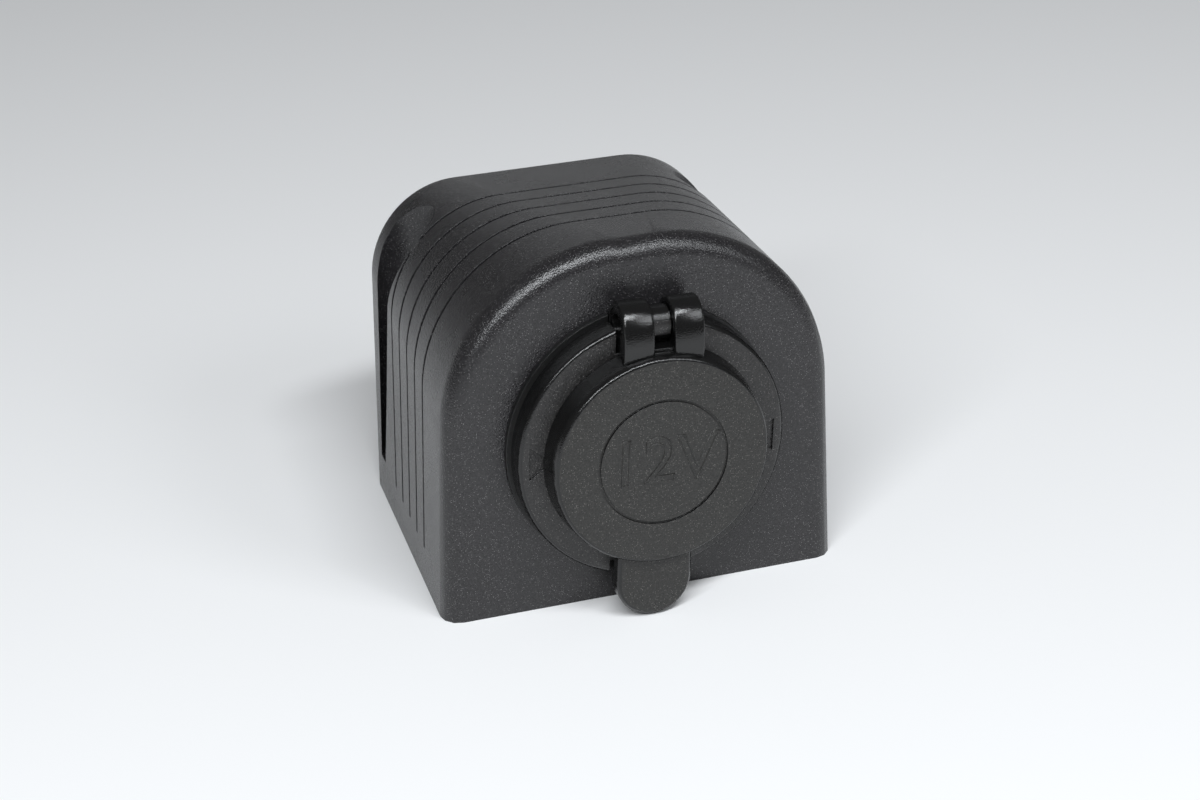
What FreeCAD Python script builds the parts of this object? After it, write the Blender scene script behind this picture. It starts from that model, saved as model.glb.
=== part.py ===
import FreeCAD
import Part
import Sketcher
import math
import os
import re

V = FreeCAD.Vector
doc = FreeCAD.newDocument("surface_mount_power_socket")

# Driving sizes in millimetres and degrees. Heights are above the mounting base, depths run back from
# the foot of the front face, and the insert's stations run outward from the front face.
SIZES = [
    ("base_width", 55.0),
    ("base_depth", 39.8),
    ("front_height", 50.0),
    ("rear_drop", 6.5),
    ("rear_narrowing", 2.8),
    ("side_draft", 2.3),
    ("front_lean", 2.5),
    ("rear_lean", 8.0),
    ("front_crown", 5.5),
    ("rear_crown", 24.0),
    ("front_round", 2.5),
    ("rear_round", 1.0),
    ("side_wall", 2.5),
    ("front_wall", 3.0),
    ("skirt_trim", 2.0),
    ("groove_width", 0.6),
    ("groove_depth", 0.55),
    ("groove_start", 11.3),
    ("groove_pitch", 4.1),
    ("groove_foot", 5.2),
    ("screw_inset", 4.9),
    ("screw_depth", 36.0),
    ("screw_hole_radius", 2.1),
    ("driver_bore_radius", 3.6),
    ("driver_bore_wall", 2.0),
    ("ear_height", 5.5),
    ("cable_width", 9.0),
    ("cable_height", 7.0),
    ("insert_height", 22.95),
    ("insert_turn", 2.5),
    ("barrel_radius", 14.0),
    ("barrel_clearance", 0.3),
    ("barrel_length", 26.5),
    ("barrel_floor", 5.0),
    ("contact_recess", 2.6),
    ("flange_width", 4.1),
    ("flange_front", 4.05),
    ("flange_chamfer", 0.5),
    ("gasket_thickness", 0.8),
    ("gasket_margin", 0.3),
    ("gasket_shift", 0.35),
    ("arrow_inset", 1.5),
    ("arrow_length", 3.0),
    ("arrow_height", 4.6),
    ("arrow_depth", 0.3),
    ("ring_wall", 3.1),
    ("ring_length", 6.0),
    ("ring_notch_radius", 1.6),
    ("ring_notch_length", 4.2),
    ("thread_clearance", 0.1),
    ("sleeve_radius", 11.0),
    ("sleeve_wall", 0.5),
    ("sleeve_mouth", 0.0),
    ("sleeve_hole_radius", 4.6),
    ("mouth_step", 0.3),
    ("keyway_width", 4.4),
    ("keyway_depth", 1.6),
    ("keyway_floor", 1.2),
    ("fit_clearance", 0.05),
    ("insulator_radius", 5.2),
    ("insulator_thickness", 1.1),
    ("stud_radius", 1.5),
    ("stud_head_radius", 4.0),
    ("stud_head_thickness", 1.2),
    ("stud_peen_radius", 2.6),
    ("stud_peen_thickness", 0.7),
    ("blade_width", 6.3),
    ("blade_thickness", 0.8),
    ("blade_length", 8.5),
    ("positive_reach", 7.0),
    ("negative_offset", 9.0),
    ("terminal_margin", 3.2),
    ("pin_radius", 1.5),
    ("pin_length", 9.6),
    ("pin_inset", 0.6),
    ("pin_station", 3.3),
    ("pin_clearance", 0.08),
    ("knuckle_radius", 3.1),
    ("knuckle_span", 10.5),
    ("knuckle_gap", 2.9),
    ("lug_width", 2.4),
    ("lug_radius", 2.3),
    ("hinge_clearance", 0.3),
    ("strap_front", 6.3),
    ("cap_ledge", 3.3),
    ("cap_taper", 0.44),
    ("cap_thickness", 3.8),
    ("cap_clearance", 0.15),
    ("cap_chamfer", 0.4),
    ("cap_ring_radius", 8.6),
    ("cap_ring_width", 0.35),
    ("cap_ring_depth", 0.25),
    ("plug_clearance", 0.6),
    ("plug_wall", 1.5),
    ("plug_depth", 3.0),
    ("plug_recess", 1.2),
    ("rim_overlap", 3.0),
    ("tab_width", 10.2),
    ("tab_thickness", 2.4),
    ("tab_overhang", 4.9),
    ("tab_chamfer", 0.5),
    ("finger_notch_width", 10.8),
    ("finger_notch_depth", 1.7),
    ("finger_notch_gap", 0.6),
]

sizes = doc.addObject("Spreadsheet::Sheet", "sizes")
for line, (alias, value) in enumerate(SIZES, start=1):
    sizes.set("A%d" % line, alias)
    sizes.set("B%d" % line, str(value))
    sizes.setAlias("B%d" % line, alias)
doc.recompute()


def bound(text):
    """Expression with every size written as a cell of the sheet."""
    names = [alias for alias, value in SIZES]
    return re.sub("[a-z_]+", lambda word: ("sizes." if word[0] in names else "") + word[0], text)


def value_of(text):
    """Present value of an expression, as a first guess for a sketch point."""
    return float(sizes.evalExpression(bound(text)))


def bind(item, prop, text):
    item.setExpression(prop, bound(text))


def new_body(label, placement=None):
    body = doc.addObject("PartDesign::Body", label)
    body.Label = label
    if placement:
        bind(body, "Placement", placement)
    return body


def new_sketch(body, name, plane, across="0", up="0", out="0", tilt=None):
    """Sketch on one of the body's own origin planes, shifted and tilted about its level axis."""
    sketch = body.newObject("Sketcher::SketchObject", name)
    planes = [item for item in body.Origin.OriginFeatures if item.Role == plane]
    sketch.AttachmentSupport = (planes[0], [""])
    sketch.MapMode = "FlatFace"
    turn = "rotation(vector(1; 0; 0); %s)" % (tilt or "0")
    bind(sketch, "AttachmentOffset", "placement(vector(%s; %s; %s); %s)" % (across, up, out, turn))
    return sketch


def hold(sketch, geometry, place, across, up):
    """Dimension one sketch point from the origin, level and upright."""
    for kind, text, axis in (("DistanceX", across, -2), ("DistanceY", up, -1)):
        if text == "0":
            sketch.addConstraint(Sketcher.Constraint("PointOnObject", geometry, place, axis))
            continue
        number = sketch.addConstraint(
            Sketcher.Constraint(kind, -1, 1, geometry, place, value_of(text)))
        bind(sketch, "Constraints[%d]" % number, text)


def draw_polygon(sketch, points):
    """Closed outline of straight lines, with every corner dimensioned."""
    places = [V(value_of(across), value_of(up), 0) for across, up in points]
    first = sketch.GeometryCount
    count = len(points)
    for step in range(count):
        sketch.addGeometry(Part.LineSegment(places[step], places[(step + 1) % count]))
    for step in range(count):
        after = first + (step + 1) % count
        sketch.addConstraint(Sketcher.Constraint("Coincident", first + step, 2, after, 1))
    for step, (across, up) in enumerate(points):
        hold(sketch, first + step, 1, across, up)


def draw_circle(sketch, across, up, radius):
    centre = V(value_of(across), value_of(up), 0)
    ring = sketch.addGeometry(Part.Circle(centre, V(0, 0, 1), value_of(radius)))
    hold(sketch, ring, 3, across, up)
    number = sketch.addConstraint(Sketcher.Constraint("Radius", ring, value_of(radius)))
    bind(sketch, "Constraints[%d]" % number, radius)


def draw_arch(sketch, width, height, crown):
    """Base line, drafted sides and a crown joined by tangent corner arcs, alike left and right."""
    half = value_of(width) / 2
    top = value_of(height)
    flat = value_of(crown) / 2
    slope = math.tan(math.radians(value_of("side_draft")))
    turn = math.radians(90 - value_of("side_draft"))
    radius = (half - slope * top - flat) / math.tan(turn / 2)
    foot = top - radius + radius * math.sin(math.radians(value_of("side_draft")))
    edge = half - slope * foot
    right = math.radians(value_of("side_draft"))
    base = sketch.addGeometry(Part.LineSegment(V(-half, 0, 0), V(half, 0, 0)))
    side = sketch.addGeometry(Part.LineSegment(V(half, 0, 0), V(edge, foot, 0)))
    circle = Part.Circle(V(flat, top - radius, 0), V(0, 0, 1), radius)
    bend = sketch.addGeometry(Part.ArcOfCircle(circle, right, math.pi / 2))
    roof = sketch.addGeometry(Part.LineSegment(V(flat, top, 0), V(-flat, top, 0)))
    circle = Part.Circle(V(-flat, top - radius, 0), V(0, 0, 1), radius)
    turn_back = sketch.addGeometry(Part.ArcOfCircle(circle, math.pi / 2, math.pi - right))
    far = sketch.addGeometry(Part.LineSegment(V(-edge, foot, 0), V(-half, 0, 0)))
    sketch.addConstraint(Sketcher.Constraint("Coincident", base, 2, side, 1))
    sketch.addConstraint(Sketcher.Constraint("Tangent", side, 2, bend, 1))
    sketch.addConstraint(Sketcher.Constraint("Tangent", bend, 2, roof, 1))
    sketch.addConstraint(Sketcher.Constraint("Tangent", roof, 2, turn_back, 1))
    sketch.addConstraint(Sketcher.Constraint("Tangent", turn_back, 2, far, 1))
    sketch.addConstraint(Sketcher.Constraint("Coincident", far, 2, base, 1))
    sketch.addConstraint(Sketcher.Constraint("PointOnObject", base, 1, -1))
    sketch.addConstraint(Sketcher.Constraint("Symmetric", base, 1, base, 2, -2))
    sketch.addConstraint(Sketcher.Constraint("Symmetric", roof, 1, roof, 2, -2))
    lean = sketch.addConstraint(Sketcher.Constraint("Angle", -2, 2, side, 2, right))
    bind(sketch, "Constraints[%d]" % lean, "side_draft")
    sketch.addConstraint(Sketcher.Constraint("Equal", bend, turn_back))
    for kind, line, text in (("DistanceX", base, width), ("DistanceX", roof, crown)):
        ends = (line, 1, line, 2) if line == base else (line, 2, line, 1)
        number = sketch.addConstraint(Sketcher.Constraint(kind, *ends, value_of(text)))
        bind(sketch, "Constraints[%d]" % number, text)
    number = sketch.addConstraint(Sketcher.Constraint("DistanceY", -1, 1, roof, 1, top))
    bind(sketch, "Constraints[%d]" % number, height)


def pad(body, name, sketch, length, both=False):
    item = body.newObject("PartDesign::Pad", name)
    item.Profile = sketch
    item.SideType = "Symmetric" if both else "One side"
    bind(item, "Length", length)
    doc.recompute()
    return item


def pocket(body, name, sketch, length=None, both=False, reverse=False):
    item = body.newObject("PartDesign::Pocket", name)
    item.Profile = sketch
    item.SideType = "Symmetric" if both else "One side"
    item.Reversed = reverse
    if length:
        bind(item, "Length", length)
    else:
        item.Type = "ThroughAll"
    before = item.BaseFeature.Shape.Volume
    doc.recompute()
    if not item.Shape.Volume < before:
        raise RuntimeError(name + " removes nothing")
    return item


def revolve(body, name, sketch):
    item = body.newObject("PartDesign::Revolution", name)
    item.Profile = sketch
    item.ReferenceAxis = (sketch, ["V_Axis"])
    item.Angle = 360
    doc.recompute()
    return item


def loft(body, name, kind, sketches):
    item = body.newObject(kind, name)
    item.Profile = sketches[0]
    item.Sections = sketches[1:]
    item.Ruled = True
    doc.recompute()
    return item


def edges_where(shape, wanted):
    return ["Edge%d" % (at + 1) for at, edge in enumerate(shape.Edges) if wanted(edge)]


def chamfer(body, name, base, size, wanted):
    item = body.newObject("PartDesign::Chamfer", name)
    item.Base = (base, edges_where(base.Shape, wanted))
    bind(item, "Size", size)
    doc.recompute()
    return item


def level_circle(radius, station):
    """Test for the round edges of one radius lying at one station of a turned piece."""
    def wanted(edge):
        curve = edge.Curve
        if not isinstance(curve, Part.Circle):
            return False
        near = abs(curve.Radius - value_of(radius)) < TOUCH
        return near and abs(curve.Center.z - value_of(station)) < TOUCH
    return wanted


TOUCH = 0.01

# The housing is one moulding. Its skin is a ruled loft from the tall arched front to the lower, narrower
# and squarer rear, both leaning back. Extra sections round the front rim and the rear rim, and all of
# them start below the base, where a skirt is trimmed off flat.
HOUSING_PLACE = "placement(vector(0; -1 * screw_depth; 0); rotation(vector(1; 0; 0); 0))"
housing = new_body("housing", HOUSING_PLACE)
REAR_WIDTH = "( base_width - rear_narrowing )"
REAR_HEIGHT = "( front_height - rear_drop )"


def skirted_arch(name, station, lean, width, height, crown):
    """Leaning arch that keeps its size at the base and runs on below it."""
    skirt = "skirt_trim / cos(%s)" % lean
    sketch = new_sketch(housing, name, "XZ_Plane", up="-1 * skirt_trim", tilt="-1 * " + lean,
                        out="%s + skirt_trim * tan(%s)" % (station, lean))
    draw_arch(sketch, "%s + 2 * %s * tan(side_draft)" % (width, skirt), "%s + %s" % (height, skirt), crown)
    return sketch


sections = []
REAR_ROUND_STEPS = (0, 45, 90)
for angle in REAR_ROUND_STEPS:
    inset = "rear_round * ( 1 - sin(%d) )" % angle
    station = "rear_round * ( 1 - cos(%d) ) - base_depth" % angle
    arch = skirted_arch("rear_arch_%d" % angle, station, "rear_lean", REAR_WIDTH + " - 2 * " + inset,
                        REAR_HEIGHT + " - " + inset, "rear_crown")
    sections.append(arch)
FRONT_ROUND_STEPS = (90, 60, 30, 0)
for angle in FRONT_ROUND_STEPS:
    inset = "front_round * ( 1 - sin(%d) )" % angle
    station = "-1 * front_round * ( 1 - cos(%d) )" % angle
    arch = skirted_arch("front_arch_%d" % angle, station, "front_lean", "base_width - 2 * " + inset,
                        "front_height - " + inset, "front_crown")
    sections.append(arch)
loft(housing, "skin", "PartDesign::AdditiveLoft", sections)

# Five narrow grooves run up both sides and over the top. Slots are cut right across the skin, and a core
# one groove depth smaller than the skin fills them again below the surface.
slots = new_sketch(housing, "groove_slots", "YZ_Plane")
GROOVES = 5
SLOT_END = "( front_height + rear_drop )"
for number in range(GROOVES):
    station = "( groove_start + %d * groove_pitch )" % number
    lean = "tan(front_lean + ( rear_lean - front_lean ) * %s / base_depth )" % station
    low = "%s + groove_foot * %s" % (station, lean)
    high = "%s + %s * %s" % (station, SLOT_END, lean)
    draw_polygon(slots, [
        ("%s - groove_width / 2" % low, "groove_foot"),
        ("%s + groove_width / 2" % low, "groove_foot"),
        ("%s + groove_width / 2" % high, SLOT_END),
        ("%s - groove_width / 2" % high, SLOT_END),
    ])
pocket(housing, "grooves", slots, "2 * base_width", both=True)
CORE_FRONT = "groove_start - groove_pitch"
core_front = new_sketch(housing, "core_front", "XZ_Plane", out="-1 * ( %s )" % CORE_FRONT,
                        tilt="-1 * front_lean")
CORE_SHARE = "( %s ) / base_depth" % CORE_FRONT
draw_arch(core_front, "base_width - rear_narrowing * %s - 2 * groove_depth" % CORE_SHARE,
          "front_height - rear_drop * %s - groove_depth" % CORE_SHARE,
          "front_crown + ( rear_crown - front_crown ) * %s" % CORE_SHARE)
core_rear = new_sketch(housing, "core_rear", "XZ_Plane", out="-1 * ( base_depth - side_wall )",
                       tilt="-1 * rear_lean")
draw_arch(core_rear, REAR_WIDTH + " - 2 * groove_depth", REAR_HEIGHT + " - groove_depth", "rear_crown")
loft(housing, "core", "PartDesign::AdditiveLoft", [core_rear, core_front])
foot = new_sketch(housing, "base_plane", "XY_Plane")
draw_polygon(foot, [
    ("-1 * base_width", "-1 * base_depth"),
    ("base_width", "-1 * base_depth"),
    ("base_width", "2 * base_depth"),
    ("-1 * base_width", "2 * base_depth"),
])
pocket(housing, "base_faced", foot, "2 * skirt_trim")

# The hollow is open at the base and leaves the two screw columns standing in the rear corners.
hollow = new_body("housing_hollow")
HOLLOW_DROP = "side_wall"
hollow_front = new_sketch(
    hollow, "hollow_front", "XZ_Plane",
    up="-1 * %s * cos(front_lean) - front_wall * sin(front_lean)" % HOLLOW_DROP,
    out="%s * sin(front_lean) - front_wall * cos(front_lean)" % HOLLOW_DROP, tilt="-1 * front_lean")
draw_arch(hollow_front, "base_width - 2 * side_wall", "front_height - side_wall + %s" % HOLLOW_DROP,
          "front_crown")
hollow_rear = new_sketch(
    hollow, "hollow_rear", "XZ_Plane", up="-1 * %s" % HOLLOW_DROP,
    out="-1 * ( base_depth - side_wall )", tilt="-1 * rear_lean")
draw_arch(hollow_rear, REAR_WIDTH + " - 2 * side_wall", REAR_HEIGHT + " - side_wall + %s" % HOLLOW_DROP,
          "rear_crown")
loft(hollow, "hollow_space", "PartDesign::AdditiveLoft", [hollow_rear, hollow_front])
SCREW_SIDES = ("-1 * ( base_width / 2 - screw_inset )", "base_width / 2 - screw_inset")
columns = new_sketch(hollow, "screw_columns", "XY_Plane", out="-2 * side_wall")
for side in SCREW_SIDES:
    draw_circle(columns, side, "screw_depth", "driver_bore_radius + driver_bore_wall")
pocket(hollow, "columns_left", columns, reverse=True)
cut = housing.newObject("PartDesign::Boolean", "hollowed")
cut.Type = "Cut"
cut.setObjects([hollow])
doc.recompute()

# Driver bores come straight down from above, break out through the sides and stop on the screw ears.
driver = new_sketch(housing, "driver_bores", "XY_Plane", out="ear_height")
for side in SCREW_SIDES:
    draw_circle(driver, side, "screw_depth", "driver_bore_radius")
pocket(housing, "driver_access", driver, reverse=True)
screws = new_sketch(housing, "screw_holes", "XY_Plane")
for side in SCREW_SIDES:
    draw_circle(screws, side, "screw_depth", "screw_hole_radius")
pocket(housing, "screw_holes_cut", screws, "2 * ear_height", both=True)

# Round-topped notch in the foot of the rear wall for the cable, and the round hole for the insert.
notch = new_sketch(housing, "cable_notch", "XZ_Plane", out="-1 * base_depth - side_wall")
draw_polygon(notch, [
    ("-1 * cable_width / 2", "0"),
    ("cable_width / 2", "0"),
    ("cable_width / 2", "cable_height - cable_width / 4"),
    ("cable_width / 4", "cable_height"),
    ("-1 * cable_width / 4", "cable_height"),
    ("-1 * cable_width / 2", "cable_height - cable_width / 4"),
])
pocket(housing, "cable_exit", notch, "4 * side_wall", reverse=True)
FACE_HEIGHT = "( insert_height / cos(front_lean) )"
hole = new_sketch(housing, "insert_hole", "XZ_Plane", tilt="-1 * front_lean")
draw_circle(hole, "0", FACE_HEIGHT, "barrel_radius + barrel_clearance")
pocket(housing, "insert_opening", hole, "2 * front_wall")

# Everything that goes into the front hole shares one axis, square to the leaning face and turned a little.
INSERT_PLACE = (
    "placement(vector(0; insert_height * tan(front_lean) - screw_depth; insert_height); "
    "rotation(vector(1; 0; 0); 90 - front_lean) * rotation(vector(0; 0; 1); -1 * insert_turn))"
)
FLANGE = "( barrel_radius + flange_width )"
PIN_HEIGHT = "( barrel_radius + flange_width - pin_inset )"
CAP_RADIUS = "( barrel_radius + flange_width - cap_ledge )"
MOUTH = "( sleeve_radius - sleeve_wall + mouth_step )"
SLOT_LOW = PIN_HEIGHT + " - knuckle_radius - hinge_clearance"
SLOT_SIDE = "( knuckle_span / 2 + hinge_clearance )"
SLOT_TOP = "( %s + 2 * knuckle_radius )" % PIN_HEIGHT

# Thin gasket under the flange, sitting slightly high and open where the hinge knuckles turn.
gasket = new_body("flange_gasket", INSERT_PLACE)
ring = new_sketch(gasket, "gasket_ring", "XY_Plane")
draw_circle(ring, "-1 * gasket_shift", "gasket_shift", FLANGE + " + gasket_margin")
draw_circle(ring, "-1 * gasket_shift", "gasket_shift", "barrel_radius + barrel_clearance + 2 * gasket_shift")
pad(gasket, "gasket_plate", ring, "gasket_thickness")
gap = new_sketch(gasket, "gasket_gap", "XY_Plane")
draw_polygon(gap, [
    ("-1 * %s" % SLOT_SIDE, "barrel_radius / 2"),
    (SLOT_SIDE, "barrel_radius / 2"),
    (SLOT_SIDE, SLOT_TOP),
    ("-1 * %s" % SLOT_SIDE, SLOT_TOP),
])
pocket(gasket, "hinge_opening", gap, "2 * gasket_thickness", both=True)

# The insert body is a flange and a closed barrel in one moulding.
insert = new_body("socket_body", INSERT_PLACE)
BACK = "-1 * barrel_length"
FLOOR = "( barrel_floor - barrel_length )"
RECESS = "( barrel_floor - barrel_length - contact_recess )"
BORE = "sleeve_radius + fit_clearance"
section = new_sketch(insert, "body_section", "XZ_Plane")
draw_polygon(section, [
    ("stud_radius + fit_clearance", BACK),
    ("barrel_radius", BACK),
    ("barrel_radius", "gasket_thickness"),
    (FLANGE, "gasket_thickness"),
    (FLANGE, "flange_front"),
    (MOUTH, "flange_front"),
    (MOUTH, "sleeve_mouth"),
    (BORE, "sleeve_mouth"),
    (BORE, FLOOR),
    ("insulator_radius + fit_clearance", FLOOR),
    ("insulator_radius + fit_clearance", RECESS),
    ("stud_radius + fit_clearance", RECESS),
])
turned = revolve(insert, "turned_body", section)
chamfer(insert, "flange_edge", turned, "flange_chamfer", level_circle(FLANGE, "flange_front"))

# Hinge slots either side of a round lug that carries the pin.
hinge_slots = new_sketch(insert, "hinge_slots", "XY_Plane")
for side in ("-1", "1"):
    draw_polygon(hinge_slots, [
        ("%s * lug_width / 2" % side, SLOT_LOW),
        ("%s * %s" % (side, SLOT_SIDE), SLOT_LOW),
        ("%s * %s" % (side, SLOT_SIDE), SLOT_TOP),
        ("%s * lug_width / 2" % side, SLOT_TOP),
    ])
pocket(insert, "knuckle_slots", hinge_slots, "2 * flange_front", reverse=True)
lug = new_sketch(insert, "pin_lug", "YZ_Plane")
draw_circle(lug, PIN_HEIGHT, "pin_station", "lug_radius")
pad(insert, "lug", lug, "lug_width", both=True)
lug_bore = new_sketch(insert, "lug_bore", "YZ_Plane")
draw_circle(lug_bore, PIN_HEIGHT, "pin_station", "pin_radius")
pocket(insert, "pin_seat", lug_bore, "2 * lug_width", both=True)

# Finger notch below the pull tab, arrow marks left and right, and two locking keyways in the mouth.
finger = new_sketch(insert, "finger_notch", "XY_Plane", out="flange_front")
draw_polygon(finger, [
    ("-1 * finger_notch_width / 2", "-1 * %s - finger_notch_depth" % FLANGE),
    ("finger_notch_width / 2", "-1 * %s - finger_notch_depth" % FLANGE),
    ("finger_notch_width / 2", "-1 * %s - finger_notch_gap" % CAP_RADIUS),
    ("-1 * finger_notch_width / 2", "-1 * %s - finger_notch_gap" % CAP_RADIUS),
])
pocket(insert, "finger_relief", finger, "finger_notch_depth")
arrows = new_sketch(insert, "arrow_marks", "XY_Plane", out="flange_front")
ARROW_REACH = "( %s - arrow_inset )" % FLANGE
for side in ("-1", "1"):
    draw_polygon(arrows, [
        ("%s * ( %s - arrow_length )" % (side, ARROW_REACH), "0"),
        ("%s * %s" % (side, ARROW_REACH), "arrow_height / 2"),
        ("%s * %s" % (side, ARROW_REACH), "-1 * arrow_height / 2"),
    ])
pocket(insert, "arrows_sunk", arrows, "arrow_depth")
keys = new_sketch(insert, "keyways", "XY_Plane", out="flange_front")
KEYWAY_REACH = "( %s + keyway_depth )" % MOUTH
draw_polygon(keys, [
    ("-1 * " + KEYWAY_REACH, "-1 * keyway_width / 2"),
    (KEYWAY_REACH, "-1 * keyway_width / 2"),
    (KEYWAY_REACH, "keyway_width / 2"),
    ("-1 * " + KEYWAY_REACH, "keyway_width / 2"),
])
pocket(insert, "keyways_cut", keys, "flange_front - keyway_floor")
blade_slot = new_sketch(insert, "blade_slot", "XY_Plane", out=BACK)
BLADE_LOW = "-1 * negative_offset - blade_thickness / 2"
BLADE_HIGH = "blade_thickness / 2 - negative_offset"
draw_polygon(blade_slot, [
    ("-1 * blade_width / 2 - fit_clearance", BLADE_LOW + " - fit_clearance"),
    ("blade_width / 2 + fit_clearance", BLADE_LOW + " - fit_clearance"),
    ("blade_width / 2 + fit_clearance", BLADE_HIGH + " + fit_clearance"),
    ("-1 * blade_width / 2 - fit_clearance", BLADE_HIGH + " + fit_clearance"),
])
pocket(insert, "blade_passage", blade_slot, "2 * barrel_floor", both=True)

# Ring nut on the barrel, hard against the inside of the front wall, with grip notches round its rim.
RING_RADIUS = "barrel_radius + thread_clearance + ring_wall"
GRIP_NOTCHES = 10
nut = new_body("clamp_ring", INSERT_PLACE)
blank = new_sketch(nut, "ring_blank", "XY_Plane", out="-1 * front_wall - ring_length")
draw_circle(blank, "0", "0", RING_RADIUS)
draw_circle(blank, "0", "0", "barrel_radius + thread_clearance")
pad(nut, "ring", blank, "ring_length")
grip = new_sketch(nut, "grip_notch", "XY_Plane", out="-1 * front_wall - ring_length")
draw_circle(grip, RING_RADIUS, "0", "ring_notch_radius")
notched = pocket(nut, "grip", grip, "ring_notch_length", reverse=True)
spread = nut.newObject("PartDesign::PolarPattern", "grips")
spread.Originals = [notched]
spread.Axis = (grip, ["N_Axis"])
spread.Angle = 360
spread.Occurrences = GRIP_NOTCHES
nut.Tip = spread
doc.recompute()

# Contact shell: a drawn cup lining the bore, with its blade lanced out through the barrel's floor.
SLEEVE_BORE = "sleeve_radius - sleeve_wall"
TERMINAL_BACK = "( -1 * barrel_length - blade_thickness )"
sleeve = new_body("contact_sleeve", INSERT_PLACE)
cup = new_sketch(sleeve, "sleeve_section", "XZ_Plane")
draw_polygon(cup, [
    ("sleeve_hole_radius", FLOOR),
    ("sleeve_radius", FLOOR),
    ("sleeve_radius", "sleeve_mouth"),
    (SLEEVE_BORE, "sleeve_mouth"),
    (SLEEVE_BORE, FLOOR + " + sleeve_wall"),
    ("sleeve_hole_radius", FLOOR + " + sleeve_wall"),
])
revolve(sleeve, "drawn_cup", cup)
blade = new_sketch(sleeve, "negative_blade", "XY_Plane", out=TERMINAL_BACK + " - blade_length")
draw_polygon(blade, [
    ("-1 * blade_width / 2", BLADE_LOW),
    ("blade_width / 2", BLADE_LOW),
    ("blade_width / 2", BLADE_HIGH),
    ("-1 * blade_width / 2", BLADE_HIGH),
])
pad(sleeve, "lanced_blade", blade, "blade_length + blade_thickness + barrel_floor + sleeve_wall / 2")

# Insulating washer in the recess of the barrel's floor, under the centre contact.
disc = new_body("insulator_disc", INSERT_PLACE)
washer = new_sketch(disc, "washer", "XY_Plane", out=RECESS)
draw_circle(washer, "0", "0", "insulator_radius")
draw_circle(washer, "0", "0", "stud_radius + fit_clearance")
pad(disc, "washer_disc", washer, "insulator_thickness")

# Centre contact: a headed stud through disc, barrel floor and terminal, peened over at the back.
stud = new_body("centre_contact", INSERT_PLACE)
STUD_SEAT = RECESS + " + insulator_thickness"
pin_shape = new_sketch(stud, "stud_section", "XZ_Plane")
draw_polygon(pin_shape, [
    ("0", TERMINAL_BACK + " - stud_peen_thickness"),
    ("stud_peen_radius", TERMINAL_BACK + " - stud_peen_thickness"),
    ("stud_peen_radius", TERMINAL_BACK),
    ("stud_radius", TERMINAL_BACK),
    ("stud_radius", STUD_SEAT),
    ("stud_head_radius", STUD_SEAT),
    ("stud_head_radius", STUD_SEAT + " + stud_head_thickness / 2"),
    ("stud_head_radius / 2", STUD_SEAT + " + stud_head_thickness"),
    ("0", STUD_SEAT + " + stud_head_thickness"),
])
revolve(stud, "headed_stud", pin_shape)

# Positive terminal: a strip under the stud's peened end, bent back to a blade.
positive = new_body("positive_terminal", INSERT_PLACE)
strip = new_sketch(positive, "terminal_strip", "YZ_Plane")
draw_polygon(strip, [
    ("-1 * terminal_margin", BACK),
    ("positive_reach", BACK),
    ("positive_reach", TERMINAL_BACK + " - blade_length"),
    ("positive_reach - blade_thickness", TERMINAL_BACK + " - blade_length"),
    ("positive_reach - blade_thickness", TERMINAL_BACK),
    ("-1 * terminal_margin", TERMINAL_BACK),
])
pad(positive, "bent_strip", strip, "blade_width", both=True)
fixing = new_sketch(positive, "stud_hole", "XY_Plane", out=TERMINAL_BACK)
draw_circle(fixing, "0", "0", "stud_radius + fit_clearance")
pocket(positive, "stud_passage", fixing, "2 * blade_thickness", both=True)

# Hinge pin, pressed in the lug and free in the cap's knuckles.
pin = new_body("hinge_pin", INSERT_PLACE)
pin_end = new_sketch(pin, "pin_circle", "YZ_Plane")
draw_circle(pin_end, PIN_HEIGHT, "pin_station", "pin_radius")
pad(pin, "pin_rod", pin_end, "pin_length", both=True)

# Sprung-over cap: a tapered disc with a plug ring behind it, two hinge knuckles and a pull tab.
cap = new_body("cap", INSERT_PLACE)
CAP_BACK = "( flange_front + cap_clearance )"
CAP_FRONT = "( flange_front + cap_clearance + cap_thickness )"
PLUG_END = CAP_BACK + " - plug_depth"
PLUG = "( %s - plug_clearance )" % MOUTH
disc_half = new_sketch(cap, "cap_section", "XZ_Plane")
draw_polygon(disc_half, [
    ("0", CAP_FRONT),
    (CAP_RADIUS + " - cap_taper", CAP_FRONT),
    (CAP_RADIUS, CAP_BACK),
    (PLUG, CAP_BACK),
    (PLUG, PLUG_END),
    (PLUG + " - plug_wall", PLUG_END),
    (PLUG + " - plug_wall", CAP_BACK + " + plug_recess"),
    ("0", CAP_BACK + " + plug_recess"),
])
cap_disc = revolve(cap, "cap_disc", disc_half)
chamfer(cap, "cap_edge", cap_disc, "cap_chamfer", level_circle(CAP_RADIUS + " - cap_taper", CAP_FRONT))
line = new_sketch(cap, "face_ring_section", "XZ_Plane")
draw_polygon(line, [
    ("cap_ring_radius - cap_ring_width / 2", CAP_FRONT + " - cap_ring_depth"),
    ("cap_ring_radius + cap_ring_width / 2", CAP_FRONT + " - cap_ring_depth"),
    ("cap_ring_radius + cap_ring_width / 2", CAP_FRONT + " + cap_ring_depth"),
    ("cap_ring_radius - cap_ring_width / 2", CAP_FRONT + " + cap_ring_depth"),
])
face_ring = cap.newObject("PartDesign::Groove", "face_ring")
face_ring.Profile = line
face_ring.ReferenceAxis = (line, ["V_Axis"])
face_ring.Angle = 360
doc.recompute()

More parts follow.
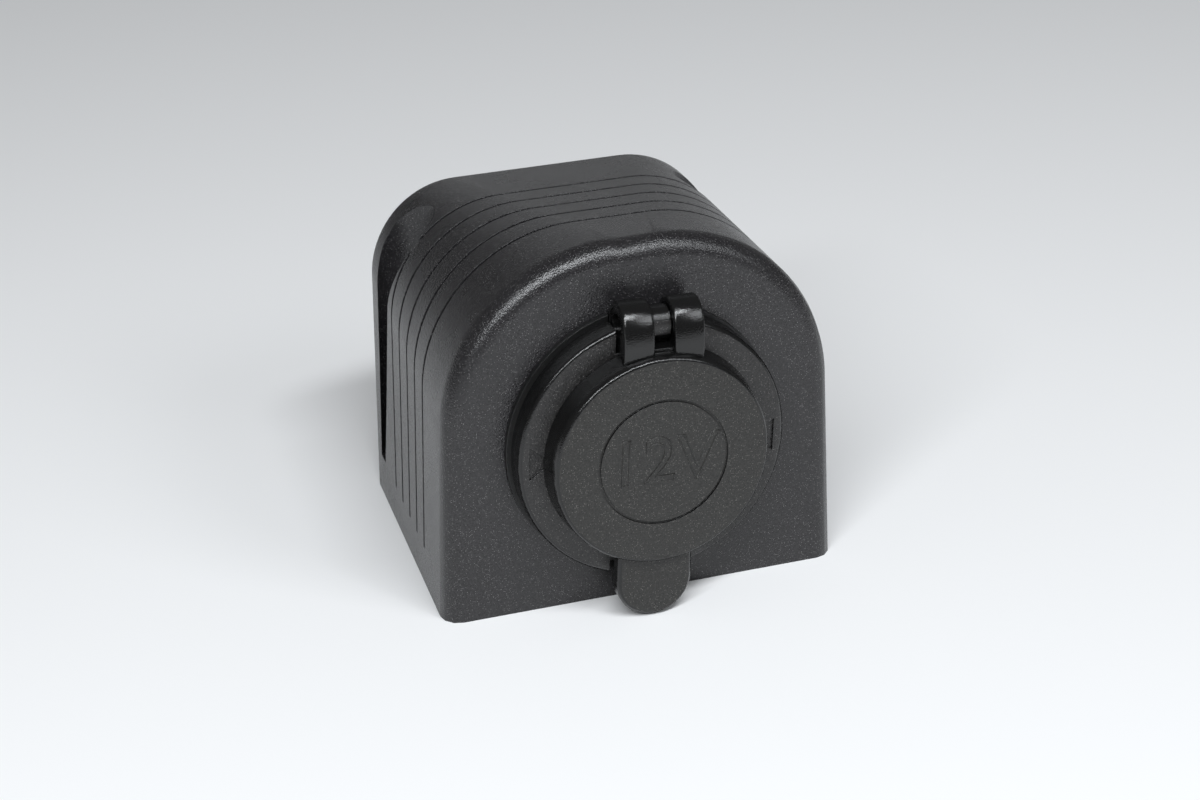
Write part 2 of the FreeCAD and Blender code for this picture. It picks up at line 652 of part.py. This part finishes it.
# Hinge strap and knuckles, parted in the middle for the lug and bored for the pin.
strap = new_sketch(cap, "strap_outline", "XY_Plane", out=CAP_BACK)
draw_polygon(strap, [
    ("-1 * knuckle_span / 2", CAP_RADIUS + " - rim_overlap"),
    ("knuckle_span / 2", CAP_RADIUS + " - rim_overlap"),
    ("knuckle_span / 2", PIN_HEIGHT),
    ("-1 * knuckle_span / 2", PIN_HEIGHT),
])
pad(cap, "strap", strap, "strap_front - " + CAP_BACK)
knuckle = new_sketch(cap, "knuckle_circle", "YZ_Plane")
draw_circle(knuckle, PIN_HEIGHT, "pin_station", "knuckle_radius")
pad(cap, "knuckles", knuckle, "knuckle_span", both=True)
parting = new_sketch(cap, "lug_gap", "XY_Plane")
draw_polygon(parting, [
    ("-1 * knuckle_gap / 2", CAP_RADIUS + " + hinge_clearance"),
    ("knuckle_gap / 2", CAP_RADIUS + " + hinge_clearance"),
    ("knuckle_gap / 2", SLOT_TOP),
    ("-1 * knuckle_gap / 2", SLOT_TOP),
])
pocket(cap, "knuckles_parted", parting, "6 * strap_front", both=True)
relief = new_sketch(cap, "flange_relief", "XY_Plane", out=CAP_BACK)
draw_polygon(relief, [
    ("-1 * knuckle_gap / 2", SLOT_LOW),
    ("knuckle_gap / 2", SLOT_LOW),
    ("knuckle_gap / 2", SLOT_TOP),
    ("-1 * knuckle_gap / 2", SLOT_TOP),
])
pocket(cap, "knuckle_root_parted", relief, "2 * knuckle_radius")
bore = new_sketch(cap, "knuckle_bore", "YZ_Plane")
draw_circle(bore, PIN_HEIGHT, "pin_station", "pin_radius + pin_clearance")
pocket(cap, "knuckles_bored", bore, "2 * knuckle_span", both=True)

# Pull tab with a full round end, standing a little behind the cap's face.
TAB_END = "-1 * ( %s + tab_overhang - tab_width / 2 )" % FLANGE
tab = new_sketch(cap, "tab_outline", "XY_Plane", out=CAP_BACK)
draw_polygon(tab, [
    ("-1 * tab_width / 2", TAB_END),
    ("tab_width / 2", TAB_END),
    ("tab_width / 2", "rim_overlap - " + CAP_RADIUS),
    ("-1 * tab_width / 2", "rim_overlap - " + CAP_RADIUS),
])
pad(cap, "tab", tab, "tab_thickness")
tab_round_end = new_sketch(cap, "tab_end", "XY_Plane", out=CAP_BACK)
draw_circle(tab_round_end, "0", TAB_END, "tab_width / 2")
whole_tab = pad(cap, "tab_tip", tab_round_end, "tab_thickness")


def on_tab_face(edge):
    level = value_of(CAP_BACK + " + tab_thickness")
    on_rim = isinstance(edge.Curve, Part.Circle) and edge.Curve.Radius > value_of("tab_width")
    on_tab = all(abs(v.Z - level) < TOUCH and v.Y < -value_of(PLUG) for v in edge.Vertexes)
    return on_tab and not on_rim


chamfer(cap, "tab_edge", whole_tab, "tab_chamfer", on_tab_face)

# Every feature has to have worked, and every piece has to be one sound solid, before anything is written.
doc.recompute()
for item in doc.Objects:
    if "Invalid" in item.State or "Error" in item.State:
        raise RuntimeError(item.Name + " failed: " + ", ".join(item.State))
PIECES = [housing, gasket, insert, nut, sleeve, disc, stud, positive, pin, cap]
for piece in PIECES:
    if piece.Shape.isNull() or not piece.Shape.isValid() or len(piece.Shape.Solids) != 1:
        raise RuntimeError(piece.Label + " is not one sound solid")
os.makedirs("parts", exist_ok=True)
for piece in PIECES:
    piece.Shape.exportStep("parts/" + piece.Label + ".step")
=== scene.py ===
import math
import bmesh
import bpy
from mathutils import Matrix, Quaternion, Vector


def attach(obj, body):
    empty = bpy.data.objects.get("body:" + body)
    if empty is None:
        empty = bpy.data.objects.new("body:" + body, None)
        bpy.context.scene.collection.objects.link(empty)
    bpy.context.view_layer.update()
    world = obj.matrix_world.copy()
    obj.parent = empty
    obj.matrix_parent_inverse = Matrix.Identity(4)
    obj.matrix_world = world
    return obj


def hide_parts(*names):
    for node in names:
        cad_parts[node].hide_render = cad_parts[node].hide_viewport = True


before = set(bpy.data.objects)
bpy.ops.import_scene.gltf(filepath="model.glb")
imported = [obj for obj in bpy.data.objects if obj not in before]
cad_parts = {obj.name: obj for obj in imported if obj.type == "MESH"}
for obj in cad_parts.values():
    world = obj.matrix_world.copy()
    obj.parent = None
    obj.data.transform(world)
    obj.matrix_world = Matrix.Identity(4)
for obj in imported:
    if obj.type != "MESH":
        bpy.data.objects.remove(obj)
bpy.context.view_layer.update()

# Housing: one black ABS moulding from a spark-eroded tool, matte and finely grained all over.
# Its mesh is the solid's own, merged, with flat faces kept flat beside the rounded rims.
def moulded_copy(node, name, crease, cutter=None):
    mesh = bpy.data.objects[node].data.copy()
    mesh.name = name
    mesh.materials.clear()
    build = bmesh.new()
    build.from_mesh(mesh)
    same_point = 2e-6
    no_length = 1e-7
    bmesh.ops.remove_doubles(build, verts=build.verts, dist=same_point)
    bmesh.ops.dissolve_degenerate(build, edges=build.edges, dist=no_length)
    if cutter:
        build.to_mesh(mesh)
        block = bpy.data.objects.new(name + "_block", mesh)
        bpy.context.scene.collection.objects.link(block)
        bite = block.modifiers.new("bite", "BOOLEAN")
        bite.object = cutter
        bite.solver = "EXACT"
        mesh = bpy.data.meshes.new_from_object(block.evaluated_get(bpy.context.evaluated_depsgraph_get()))
        bpy.data.objects.remove(block)
        build.clear()
        build.from_mesh(mesh)
    for face in build.faces:
        face.smooth = True
    for edge in build.edges:
        edge.smooth = len(edge.link_faces) == 2 and edge.calc_face_angle(0.0) < math.radians(crease)
    build.to_mesh(mesh)
    build.free()
    rough = bpy.data.objects.new(name + "_rough", mesh)
    bpy.context.scene.collection.objects.link(rough)
    flats = rough.modifiers.new("flats", "WEIGHTED_NORMAL")
    flats.keep_sharp = True
    flats.weight = 90
    held = bpy.data.meshes.new_from_object(rough.evaluated_get(bpy.context.evaluated_depsgraph_get()))
    bpy.data.objects.remove(rough)
    piece = bpy.data.objects.new(name, held)
    bpy.context.scene.collection.objects.link(piece)
    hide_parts(node)
    return piece


def shader_group(name, inputs, outputs):
    group = bpy.data.node_groups.new(name, "ShaderNodeTree")
    for label, kind, value in inputs:
        group.interface.new_socket(label, in_out="INPUT", socket_type=kind).default_value = value
    for label, kind in outputs:
        group.interface.new_socket(label, in_out="OUTPUT", socket_type=kind)
    return group, group.nodes.new("NodeGroupInput"), group.nodes.new("NodeGroupOutput")


# Spark grain: round pits of two sizes, and tiny bright dots of painted glint, colour that stands in for pit
# walls
# # catching the light. Every plastic piece has it, finer or coarser.
grain_group, grain_in, grain_out = shader_group(
    "spark_grain",
    [("Vector", "NodeSocketVector", (0, 0, 0)), ("Pits per mm", "NodeSocketFloat", 4.0),
     ("Fleck share", "NodeSocketFloat", 0.5)],
    [("Height", "NodeSocketFloat"), ("Fleck", "NodeSocketFloat"), ("Cloud", "NodeSocketFloat"),
     ("Speckle", "NodeSocketFloat")])
tree = grain_group.nodes
wire = grain_group.links.new
to_mm = tree.new("ShaderNodeVectorMath")
to_mm.operation = "SCALE"
mm_per_metre = 1000.0
to_mm.inputs["Scale"].default_value = mm_per_metre
wire(grain_in.outputs["Vector"], to_mm.inputs[0])
pits = tree.new("ShaderNodeTexVoronoi")
pits.feature = "SMOOTH_F1"
pits.inputs["Smoothness"].default_value = 0.6
wire(to_mm.outputs[0], pits.inputs["Vector"])
wire(grain_in.outputs["Pits per mm"], pits.inputs["Scale"])
ripple = tree.new("ShaderNodeTexNoise")
ripple.inputs["Detail"].default_value = 3.0
ripple.inputs["Roughness"].default_value = 0.65
wire(to_mm.outputs[0], ripple.inputs["Vector"])
wire(grain_in.outputs["Pits per mm"], ripple.inputs["Scale"])
heap = tree.new("ShaderNodeMath")
heap.operation = "ADD"
wire(pits.outputs["Distance"], heap.inputs[0])
wire(ripple.outputs["Fac"], heap.inputs[1])
wire(heap.outputs[0], grain_out.inputs["Height"])
# Painted glints: random dots that get a bright colour, a painted highlight where pit walls would catch the
# light.
dots = tree.new("ShaderNodeTexVoronoi")
dots.inputs["Scale"].default_value = 5.5
wire(to_mm.outputs[0], dots.inputs["Vector"])
near = tree.new("ShaderNodeMath")
near.operation = "LESS_THAN"
glint_radius = 0.24
near.inputs[1].default_value = glint_radius
wire(dots.outputs["Distance"], near.inputs[0])
chance = tree.new("ShaderNodeSeparateColor")
wire(dots.outputs["Color"], chance.inputs["Color"])
chosen = tree.new("ShaderNodeMath")
chosen.operation = "LESS_THAN"
wire(chance.outputs["Red"], chosen.inputs[0])
wire(grain_in.outputs["Fleck share"], chosen.inputs[1])
both = tree.new("ShaderNodeMath")
both.operation = "MULTIPLY"
wire(near.outputs[0], both.inputs[0])
wire(chosen.outputs[0], both.inputs[1])
wire(both.outputs[0], grain_out.inputs["Fleck"])
cloud = tree.new("ShaderNodeTexNoise")
cloud.inputs["Scale"].default_value = 0.12
cloud.inputs["Detail"].default_value = 4.0
wire(to_mm.outputs[0], cloud.inputs["Vector"])
wire(cloud.outputs["Fac"], grain_out.inputs["Cloud"])
speckle = tree.new("ShaderNodeMapRange")
speckle.inputs["From Min"].default_value = 0.35
speckle.inputs["From Max"].default_value = 0.65
wire(ripple.outputs["Fac"], speckle.inputs["Value"])
wire(speckle.outputs["Result"], grain_out.inputs["Speckle"])


def grained_plastic(name, dark, light, painted_glint_colour, roughness, pits_per_mm, bump, fleck_share, mirror):
    material = bpy.data.materials.new(name)
    material.use_nodes = True
    nodes = material.node_tree.nodes
    join = material.node_tree.links.new
    skin = nodes["Principled BSDF"]
    skin.inputs["Specular IOR Level"].default_value = mirror
    place = nodes.new("ShaderNodeTexCoord")
    grain = nodes.new("ShaderNodeGroup")
    grain.node_tree = grain_group
    grain.inputs["Pits per mm"].default_value = pits_per_mm
    grain.inputs["Fleck share"].default_value = fleck_share
    join(place.outputs["Object"], grain.inputs["Vector"])
    tone = nodes.new("ShaderNodeMix")
    tone.data_type = "RGBA"
    tone.inputs["A"].default_value = dark
    tone.inputs["B"].default_value = light
    join(grain.outputs["Speckle"], tone.inputs["Factor"])
    # Painted glints: the bright colour is mixed into the base colour at the dots, a painted highlight on
    # the pit walls.
    painted_glints = nodes.new("ShaderNodeMix")
    painted_glints.data_type = "RGBA"
    painted_glints.inputs["B"].default_value = painted_glint_colour
    join(grain.outputs["Fleck"], painted_glints.inputs["Factor"])
    join(tone.outputs["Result"], painted_glints.inputs["A"])
    join(painted_glints.outputs["Result"], skin.inputs["Base Color"])
    dull = nodes.new("ShaderNodeMapRange")
    uneven = 0.06
    dull.inputs["To Min"].default_value = roughness - uneven
    dull.inputs["To Max"].default_value = roughness + uneven
    join(grain.outputs["Cloud"], dull.inputs["Value"])
    join(dull.outputs["Result"], skin.inputs["Roughness"])
    dents = nodes.new("ShaderNodeBump")
    dents.inputs["Strength"].default_value = bump
    pit_depth = 0.0001
    dents.inputs["Distance"].default_value = pit_depth
    join(grain.outputs["Height"], dents.inputs["Height"])
    worn_edge = nodes.new("ShaderNodeBevel")
    worn_edge.samples = 6
    edge_round = 0.00016
    worn_edge.inputs["Radius"].default_value = edge_round
    join(worn_edge.outputs["Normal"], dents.inputs["Normal"])
    join(dents.outputs["Normal"], skin.inputs["Normal"])
    return material


housing_black = grained_plastic("housing_black", (0.006, 0.0057, 0.0062, 1), (0.025, 0.0238, 0.0255, 1),
                                (0.19, 0.185, 0.185, 1), roughness=0.27, pits_per_mm=4.6, bump=0.36,
                                fleck_share=0.32, mirror=0.58)
# Each driver recess widens and leans back as it rises out of its screw column: height, distance from the
# middle, setback from the screw and radius of the ring at each level.
recess_levels = ((0.0056, 0.0226, 0.0, 0.0035), (0.02, 0.0226, 0.0002, 0.00365),
                 (0.03, 0.0225, 0.00045, 0.004), (0.036, 0.0222, 0.0008, 0.0045),
                 (0.042, 0.022, 0.0009, 0.00465), (0.052, 0.022, 0.0009, 0.00465))
recess_facets = 64
recess_mesh = bpy.data.meshes.new("driver_recesses")
loft = bmesh.new()
turns = [2 * math.pi * step / recess_facets for step in range(recess_facets)]
for side in (-1, 1):
    rings = []
    for height, across, setback, radius in recess_levels:
        rings.append([loft.verts.new((side * across + radius * math.cos(turn),
                                      setback + radius * math.sin(turn), height)) for turn in turns])
    for low, high in zip(rings, rings[1:]):
        for step in range(recess_facets):
            loft.faces.new((low[step - 1], low[step], high[step], high[step - 1]))
    loft.faces.new(rings[0])
    loft.faces.new(rings[-1])
bmesh.ops.recalc_face_normals(loft, faces=loft.faces)
loft.to_mesh(recess_mesh)
loft.free()
recess = bpy.data.objects.new("driver_recesses", recess_mesh)
bpy.context.scene.collection.objects.link(recess)
housing = moulded_copy("housing", "housing_shell", crease=30, cutter=recess)
bpy.data.objects.remove(recess)
housing.data.materials.append(housing_black)
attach(housing, "base_unit")

# Gasket: a thin die-cut ring of soft black rubber, slightly shiny, pinched under the flange. It sits a
# little high, so it shows as a crescent at the upper left.
gasket_rubber = grained_plastic("gasket_rubber", (0.006, 0.006, 0.006, 1), (0.01, 0.01, 0.01, 1),
                                (0.03, 0.03, 0.03, 1), roughness=0.3, pits_per_mm=6.0, bump=0.2,
                                fleck_share=0.1, mirror=0.4)
gasket = moulded_copy("flange_gasket", "gasket_ring", crease=35)
gasket.data.materials.append(gasket_rubber)
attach(gasket, "base_unit")

# Socket body: flange and barrel in one black moulding, grained on the flange's face and polished
# on every other side. All that goes into the front hole stands square to the leaning face.
insert_lean = math.radians(2.5)
insert_turn = math.radians(2.5)
insert_height = 0.02295
screw_depth = 0.036
insert_frame = (
    Matrix.Translation((0, insert_height * math.tan(insert_lean) - screw_depth, insert_height))
    @ Matrix.Rotation(math.pi / 2 - insert_lean, 4, "X") @ Matrix.Rotation(-insert_turn, 4, "Z"))
socket_black = grained_plastic("socket_black", (0.007, 0.0067, 0.0067, 1), (0.028, 0.0268, 0.0265, 1),
                               (0.18, 0.172, 0.168, 1), roughness=0.29, pits_per_mm=4.6, bump=0.4,
                               fleck_share=0.32, mirror=0.52)
polished_black = grained_plastic("polished_black", (0.004, 0.004, 0.004, 1), (0.006, 0.006, 0.006, 1),
                                 (0.012, 0.012, 0.012, 1), roughness=0.17, pits_per_mm=5.0, bump=0.16,
                                 fleck_share=0.1, mirror=0.55)


def finish_faces(piece, face_finish, side_finish, polished_above):
    piece.data.materials.append(face_finish)
    piece.data.materials.append(side_finish)
    to_insert = insert_frame.inverted()
    turned = to_insert.to_3x3()
    face_on = 0.9
    for polygon in piece.data.polygons:
        spot = to_insert @ polygon.center
        facing = (turned @ polygon.normal).z
        polygon.material_index = int(facing < face_on or spot.y > polished_above)


socket = moulded_copy("socket_body", "socket_moulding", crease=50)
finish_faces(socket, socket_black, polished_black, polished_above=0.03)
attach(socket, "base_unit")

# Barrel thread: moulded ridges round the barrel behind the ring nut, repeated at one pitch. They are in
# the barrel's own plastic and can be seen only from below.
thread_tree = bpy.data.node_groups.new("barrel_thread_rings", "GeometryNodeTree")
for label, kind, value in (("Radius", "NodeSocketFloat", 0.0139), ("Ridge", "NodeSocketFloat", 0.00035),
                           ("Pitch", "NodeSocketFloat", 0.00125), ("Turns", "NodeSocketInt", 12)):
    thread_tree.interface.new_socket(label, in_out="INPUT", socket_type=kind).default_value = value
thread_tree.interface.new_socket("Material", in_out="INPUT", socket_type="NodeSocketMaterial")
thread_tree.interface.new_socket("Geometry", in_out="OUTPUT", socket_type="NodeSocketGeometry")
shape = thread_tree.nodes
tie = thread_tree.links.new
thread_in = shape.new("NodeGroupInput")
ridge_path = shape.new("GeometryNodeCurvePrimitiveCircle")
ridge_path.inputs["Resolution"].default_value = 96
tie(thread_in.outputs["Radius"], ridge_path.inputs["Radius"])
ridge_profile = shape.new("GeometryNodeCurvePrimitiveCircle")
ridge_profile.inputs["Resolution"].default_value = 8
tie(thread_in.outputs["Ridge"], ridge_profile.inputs["Radius"])
ridge = shape.new("GeometryNodeCurveToMesh")
tie(ridge_path.outputs["Curve"], ridge.inputs["Curve"])
tie(ridge_profile.outputs["Curve"], ridge.inputs["Profile Curve"])
climb = shape.new("ShaderNodeCombineXYZ")
tie(thread_in.outputs["Pitch"], climb.inputs["Z"])
rows = shape.new("GeometryNodeMeshLine")
tie(thread_in.outputs["Turns"], rows.inputs["Count"])
tie(climb.outputs[0], rows.inputs["Offset"])
copies = shape.new("GeometryNodeInstanceOnPoints")
tie(rows.outputs["Mesh"], copies.inputs["Points"])
tie(ridge.outputs["Mesh"], copies.inputs["Instance"])
whole = shape.new("GeometryNodeRealizeInstances")
tie(copies.outputs["Instances"], whole.inputs["Geometry"])
soft = shape.new("GeometryNodeSetShadeSmooth")
tie(whole.outputs["Geometry"], soft.inputs["Geometry"])
dressed = shape.new("GeometryNodeSetMaterial")
tie(soft.outputs["Geometry"], dressed.inputs["Geometry"])
tie(thread_in.outputs["Material"], dressed.inputs["Material"])
thread_out = shape.new("NodeGroupOutput")
tie(dressed.outputs["Geometry"], thread_out.inputs["Geometry"])
thread_maker = bpy.data.objects.new("thread_maker", bpy.data.meshes.new("thread_maker"))
bpy.context.scene.collection.objects.link(thread_maker)
rings = thread_maker.modifiers.new("rings", "NODES")
rings.node_group = thread_tree
for item in thread_tree.interface.items_tree:
    if item.in_out == "INPUT" and item.name == "Material":
        rings[item.identifier] = socket_black
thread_mesh = bpy.data.meshes.new_from_object(
    thread_maker.evaluated_get(bpy.context.evaluated_depsgraph_get()))
bpy.data.objects.remove(thread_maker)
thread_start = -0.0246
thread_mesh.transform(insert_frame @ Matrix.Translation((0, 0, thread_start)))
thread = bpy.data.objects.new("barrel_thread", thread_mesh)
bpy.context.scene.collection.objects.link(thread)
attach(thread, "base_unit")

# Ring nut: a glossy black moulding with grip notches, run up the barrel against the front wall from
# inside the housing.
nut = moulded_copy("clamp_ring", "ring_nut", crease=35)
nut.data.materials.append(polished_black)
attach(nut, "base_unit")

# Contacts: a drawn nickel-plated cup with its own blade, a turned brass stud peened over a bent brass
# terminal, and a pressed board washer that keeps the two apart.
def drawn_metal(name, colour, roughness):
    material = bpy.data.materials.new(name)
    material.use_nodes = True
    nodes = material.node_tree.nodes
    join = material.node_tree.links.new
    skin = nodes["Principled BSDF"]
    skin.inputs["Metallic"].default_value = 1.0
    place = nodes.new("ShaderNodeTexCoord")
    stretch = nodes.new("ShaderNodeMapping")
    marks_per_metre = (4000, 300, 4000)
    stretch.inputs["Scale"].default_value = marks_per_metre
    join(place.outputs["Object"], stretch.inputs["Vector"])
    lines = nodes.new("ShaderNodeTexNoise")
    lines.inputs["Scale"].default_value = 1.0
    lines.inputs["Detail"].default_value = 4.0
    join(stretch.outputs["Vector"], lines.inputs["Vector"])
    tone = nodes.new("ShaderNodeMix")
    tone.data_type = "RGBA"
    mark_share = 0.8
    tone.inputs["A"].default_value = [part * mark_share for part in colour] + [1]
    tone.inputs["B"].default_value = list(colour) + [1]
    join(lines.outputs["Fac"], tone.inputs["Factor"])
    join(tone.outputs["Result"], skin.inputs["Base Color"])
    shine = nodes.new("ShaderNodeMapRange")
    shine.inputs["To Min"].default_value = roughness - 0.08
    shine.inputs["To Max"].default_value = roughness + 0.12
    join(lines.outputs["Fac"], shine.inputs["Value"])
    join(shine.outputs["Result"], skin.inputs["Roughness"])
    return material


plated = drawn_metal("nickel_plate", (0.66, 0.63, 0.58), 0.22)
brass = drawn_metal("bright_brass", (0.78, 0.57, 0.24), 0.25)
board = grained_plastic("pressed_board", (0.2, 0.085, 0.035, 1), (0.3, 0.14, 0.06, 1),
                        (0.4, 0.22, 0.1, 1), roughness=0.65, pits_per_mm=2.0, bump=0.3,
                        fleck_share=0.4, mirror=0.4)
for node, finish in (("contact_sleeve", plated), ("insulator_disc", board), ("centre_contact", brass),
                     ("positive_terminal", brass)):
    contact = moulded_copy(node, node + "_finished", crease=35)
    contact.data.materials.append(finish)
    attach(contact, "base_unit")

# Hinge pin: a plain drawn rod, blacked, pressed into the lug between the two knuckles, which turn
# freely on its ends.
pin = moulded_copy("hinge_pin", "hinge_rod", crease=35)
pin.data.materials.append(polished_black)
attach(pin, "base_unit")

# Cap: a black polypropylene moulding, softly grained in front and on its pull tab, and shiny round the
# edge and on the hinge strap.
cap_black = grained_plastic("cap_black", (0.0075, 0.0072, 0.0065, 1), (0.027, 0.0262, 0.0238, 1),
                            (0.18, 0.174, 0.162, 1), roughness=0.3, pits_per_mm=4.6, bump=0.42,
                            fleck_share=0.32, mirror=0.52)
strap_start = 0.0135
cap = moulded_copy("cap", "cap_moulding", crease=50)
finish_faces(cap, cap_black, polished_black, polished_above=strap_start)
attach(cap, "cap_unit")

# Knuckle straps: the glossy curls of the cap that go over the pin and swell down its front. Each is a
# band with rounded edges: height and distance out from the pin along the curl, then its cross-section.
pin_height = 0.0175
pin_station = 0.0033
curl_radius = 0.00322
curl_turns = [math.radians(degrees) for degrees in range(200, 30, -10)]
curl = [Vector((curl_radius * math.sin(turn), curl_radius * math.cos(turn))) for turn in curl_turns]
curl += [Vector(point) for point in ((0.0015, 0.00288), (0.0008, 0.00322), (0, 0.00348), (-0.0008, 0.00364),
                                     (-0.0016, 0.00374), (-0.0024, 0.00377), (-0.0032, 0.00373),
                                     (-0.004, 0.0036), (-0.0047, 0.0034))]
strap_edge = 0.00035
strap_half = 0.00202
strap_middle = 0.00335
strap_depth = 0.0008
section = [(-strap_half, strap_depth)]
for turn in (90, 60, 30, 0):
    drop = strap_edge * (1 - math.cos(math.radians(turn)))
    section.append((-strap_half + strap_edge * (1 - math.sin(math.radians(turn))), drop))
section += [(-across, drop) for across, drop in reversed(section)]
strap_mesh = bpy.data.meshes.new("knuckle_straps")
straps = bmesh.new()
for side in (-1, 1):
    rows = []
    for step, point in enumerate(curl):
        along = curl[min(step + 1, len(curl) - 1)] - curl[max(step - 1, 0)]
        outward = Vector((along.y, -along.x)).normalized()
        if outward.dot(point) < 0:
            outward.negate()
        row = []
        for across, drop in section:
            spot = point - outward * drop
            row.append(straps.verts.new((side * strap_middle + across, pin_height + spot.x,
                                         pin_station + spot.y)))
        rows.append(row)
    for low, high in zip(rows, rows[1:]):
        for step in range(len(section)):
            straps.faces.new((low[step - 1], low[step], high[step], high[step - 1]))
    straps.faces.new(rows[0])
    straps.faces.new(rows[-1])
bmesh.ops.recalc_face_normals(straps, faces=straps.faces)
bmesh.ops.transform(straps, matrix=insert_frame, verts=straps.verts)
for face in straps.faces:
    face.smooth = True
straps.to_mesh(strap_mesh)
straps.free()
strap_mesh.set_sharp_from_angle(angle=math.radians(40))
strap_mesh.materials.append(polished_black)
knuckle_straps = bpy.data.objects.new("knuckle_straps", strap_mesh)
bpy.context.scene.collection.objects.link(knuckle_straps)
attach(knuckle_straps, "cap_unit")

# Voltage mark: generic outline figures inside the ring on the cap's face, standing a hair proud in the
# cap's own plastic.
figure_line = 0.00013
mark_curve = bpy.data.curves.new("voltage_mark", "FONT")
mark_curve.body = "12V"
mark_curve.size = 0.0092
mark_curve.align_x = "CENTER"
mark_curve.align_y = "CENTER"
mark_curve.fill_mode = "NONE"
mark_curve.bevel_depth = figure_line
mark_curve.bevel_resolution = 2
mark_maker = bpy.data.objects.new("mark_maker", mark_curve)
bpy.context.scene.collection.objects.link(mark_maker)
mark_mesh = bpy.data.meshes.new_from_object(mark_maker.evaluated_get(bpy.context.evaluated_depsgraph_get()))
bpy.data.objects.remove(mark_maker)
cap_face = 0.008
mark_mesh.transform(insert_frame @ Matrix.Translation((0, 0, cap_face)))
mark_mesh.materials.clear()
mark_mesh.materials.append(cap_black)
mark = bpy.data.objects.new("voltage_figures", mark_mesh)
bpy.context.scene.collection.objects.link(mark)
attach(mark, "cap_unit")

# Studio: a white table in a dim pale room. A long tilted strip in front draws the highlight along the
# housing's rim, a soft box on the right fills the front, and a weak card lights the back.
floor_mesh = bpy.data.meshes.new("table")
reach = 3.0
floor_mesh.from_pydata([(-reach, -reach, 0), (reach, -reach, 0), (reach, reach, 0), (-reach, reach, 0)],
                       [], [(0, 1, 2, 3)])
table = bpy.data.objects.new("table", floor_mesh)
bpy.context.scene.collection.objects.link(table)
table_white = bpy.data.materials.new("table_white")
table_white.use_nodes = True
table_white.node_tree.nodes["Principled BSDF"].inputs["Base Color"].default_value = (0.9, 0.9, 0.9, 1)
table_white.node_tree.nodes["Principled BSDF"].inputs["Roughness"].default_value = 0.9
floor_mesh.materials.append(table_white)
world = bpy.data.worlds.new("surround")
bpy.context.scene.world = world
world.use_nodes = True
room = world.node_tree.nodes["Background"]
room.inputs["Color"].default_value = (1, 1, 1, 1)
room.inputs["Strength"].default_value = 0.12
centre = Vector((0, -0.016, 0.022))
for name, spot, width, depth, power, roll in (
        ("highlight_strip", (-0.125, -0.34, 0.475), 0.7, 0.07, 3.9, 0.55),
        ("key_box", (0.36, -0.44, 0.46), 0.26, 0.26, 1.0, 0.0),
        ("rear_card", (0.35, 1.0, 0.3), 0.9, 0.5, 0.4, 0.0)):
    lamp = bpy.data.lights.new(name, "AREA")
    lamp.shape = "RECTANGLE"
    lamp.size = width
    lamp.size_y = depth
    lamp.energy = power
    lamp.color = (0.94, 0.97, 1.0)
    holder = bpy.data.objects.new(name, lamp)
    holder.location = spot
    aim = (Vector(spot) - centre).to_track_quat("Z", "Y")
    holder.rotation_euler = (aim @ Quaternion((0, 0, 1), roll)).to_euler()
    bpy.context.scene.collection.objects.link(holder)

# Camera: the photograph's standpoint, to the left of the front and above it, through a long lens. The
# angles and the lens were fitted to the photograph's edges.
camera_azimuth = math.radians(-18.921)
camera_height = math.radians(28.255)
camera_reach = 0.365416
camera_aim = Vector((0.000679, -0.016, 0.018438))
lens_pixels = 2676.82
image_width = 1200
back = Vector((math.sin(camera_azimuth) * math.cos(camera_height),
               -math.cos(camera_azimuth) * math.cos(camera_height), math.sin(camera_height)))
camera_data = bpy.data.cameras.new("photo_camera")
camera_data.sensor_width = 36.0
camera_data.lens = lens_pixels / image_width * camera_data.sensor_width
camera_data.clip_start = 0.01
camera = bpy.data.objects.new("photo_camera", camera_data)
camera.location = camera_aim + back * camera_reach
camera.rotation_euler = back.to_track_quat("Z", "Y").to_euler()
bpy.context.scene.collection.objects.link(camera)
bpy.context.scene.camera = camera
bpy.context.scene.view_settings.view_transform = "Standard"
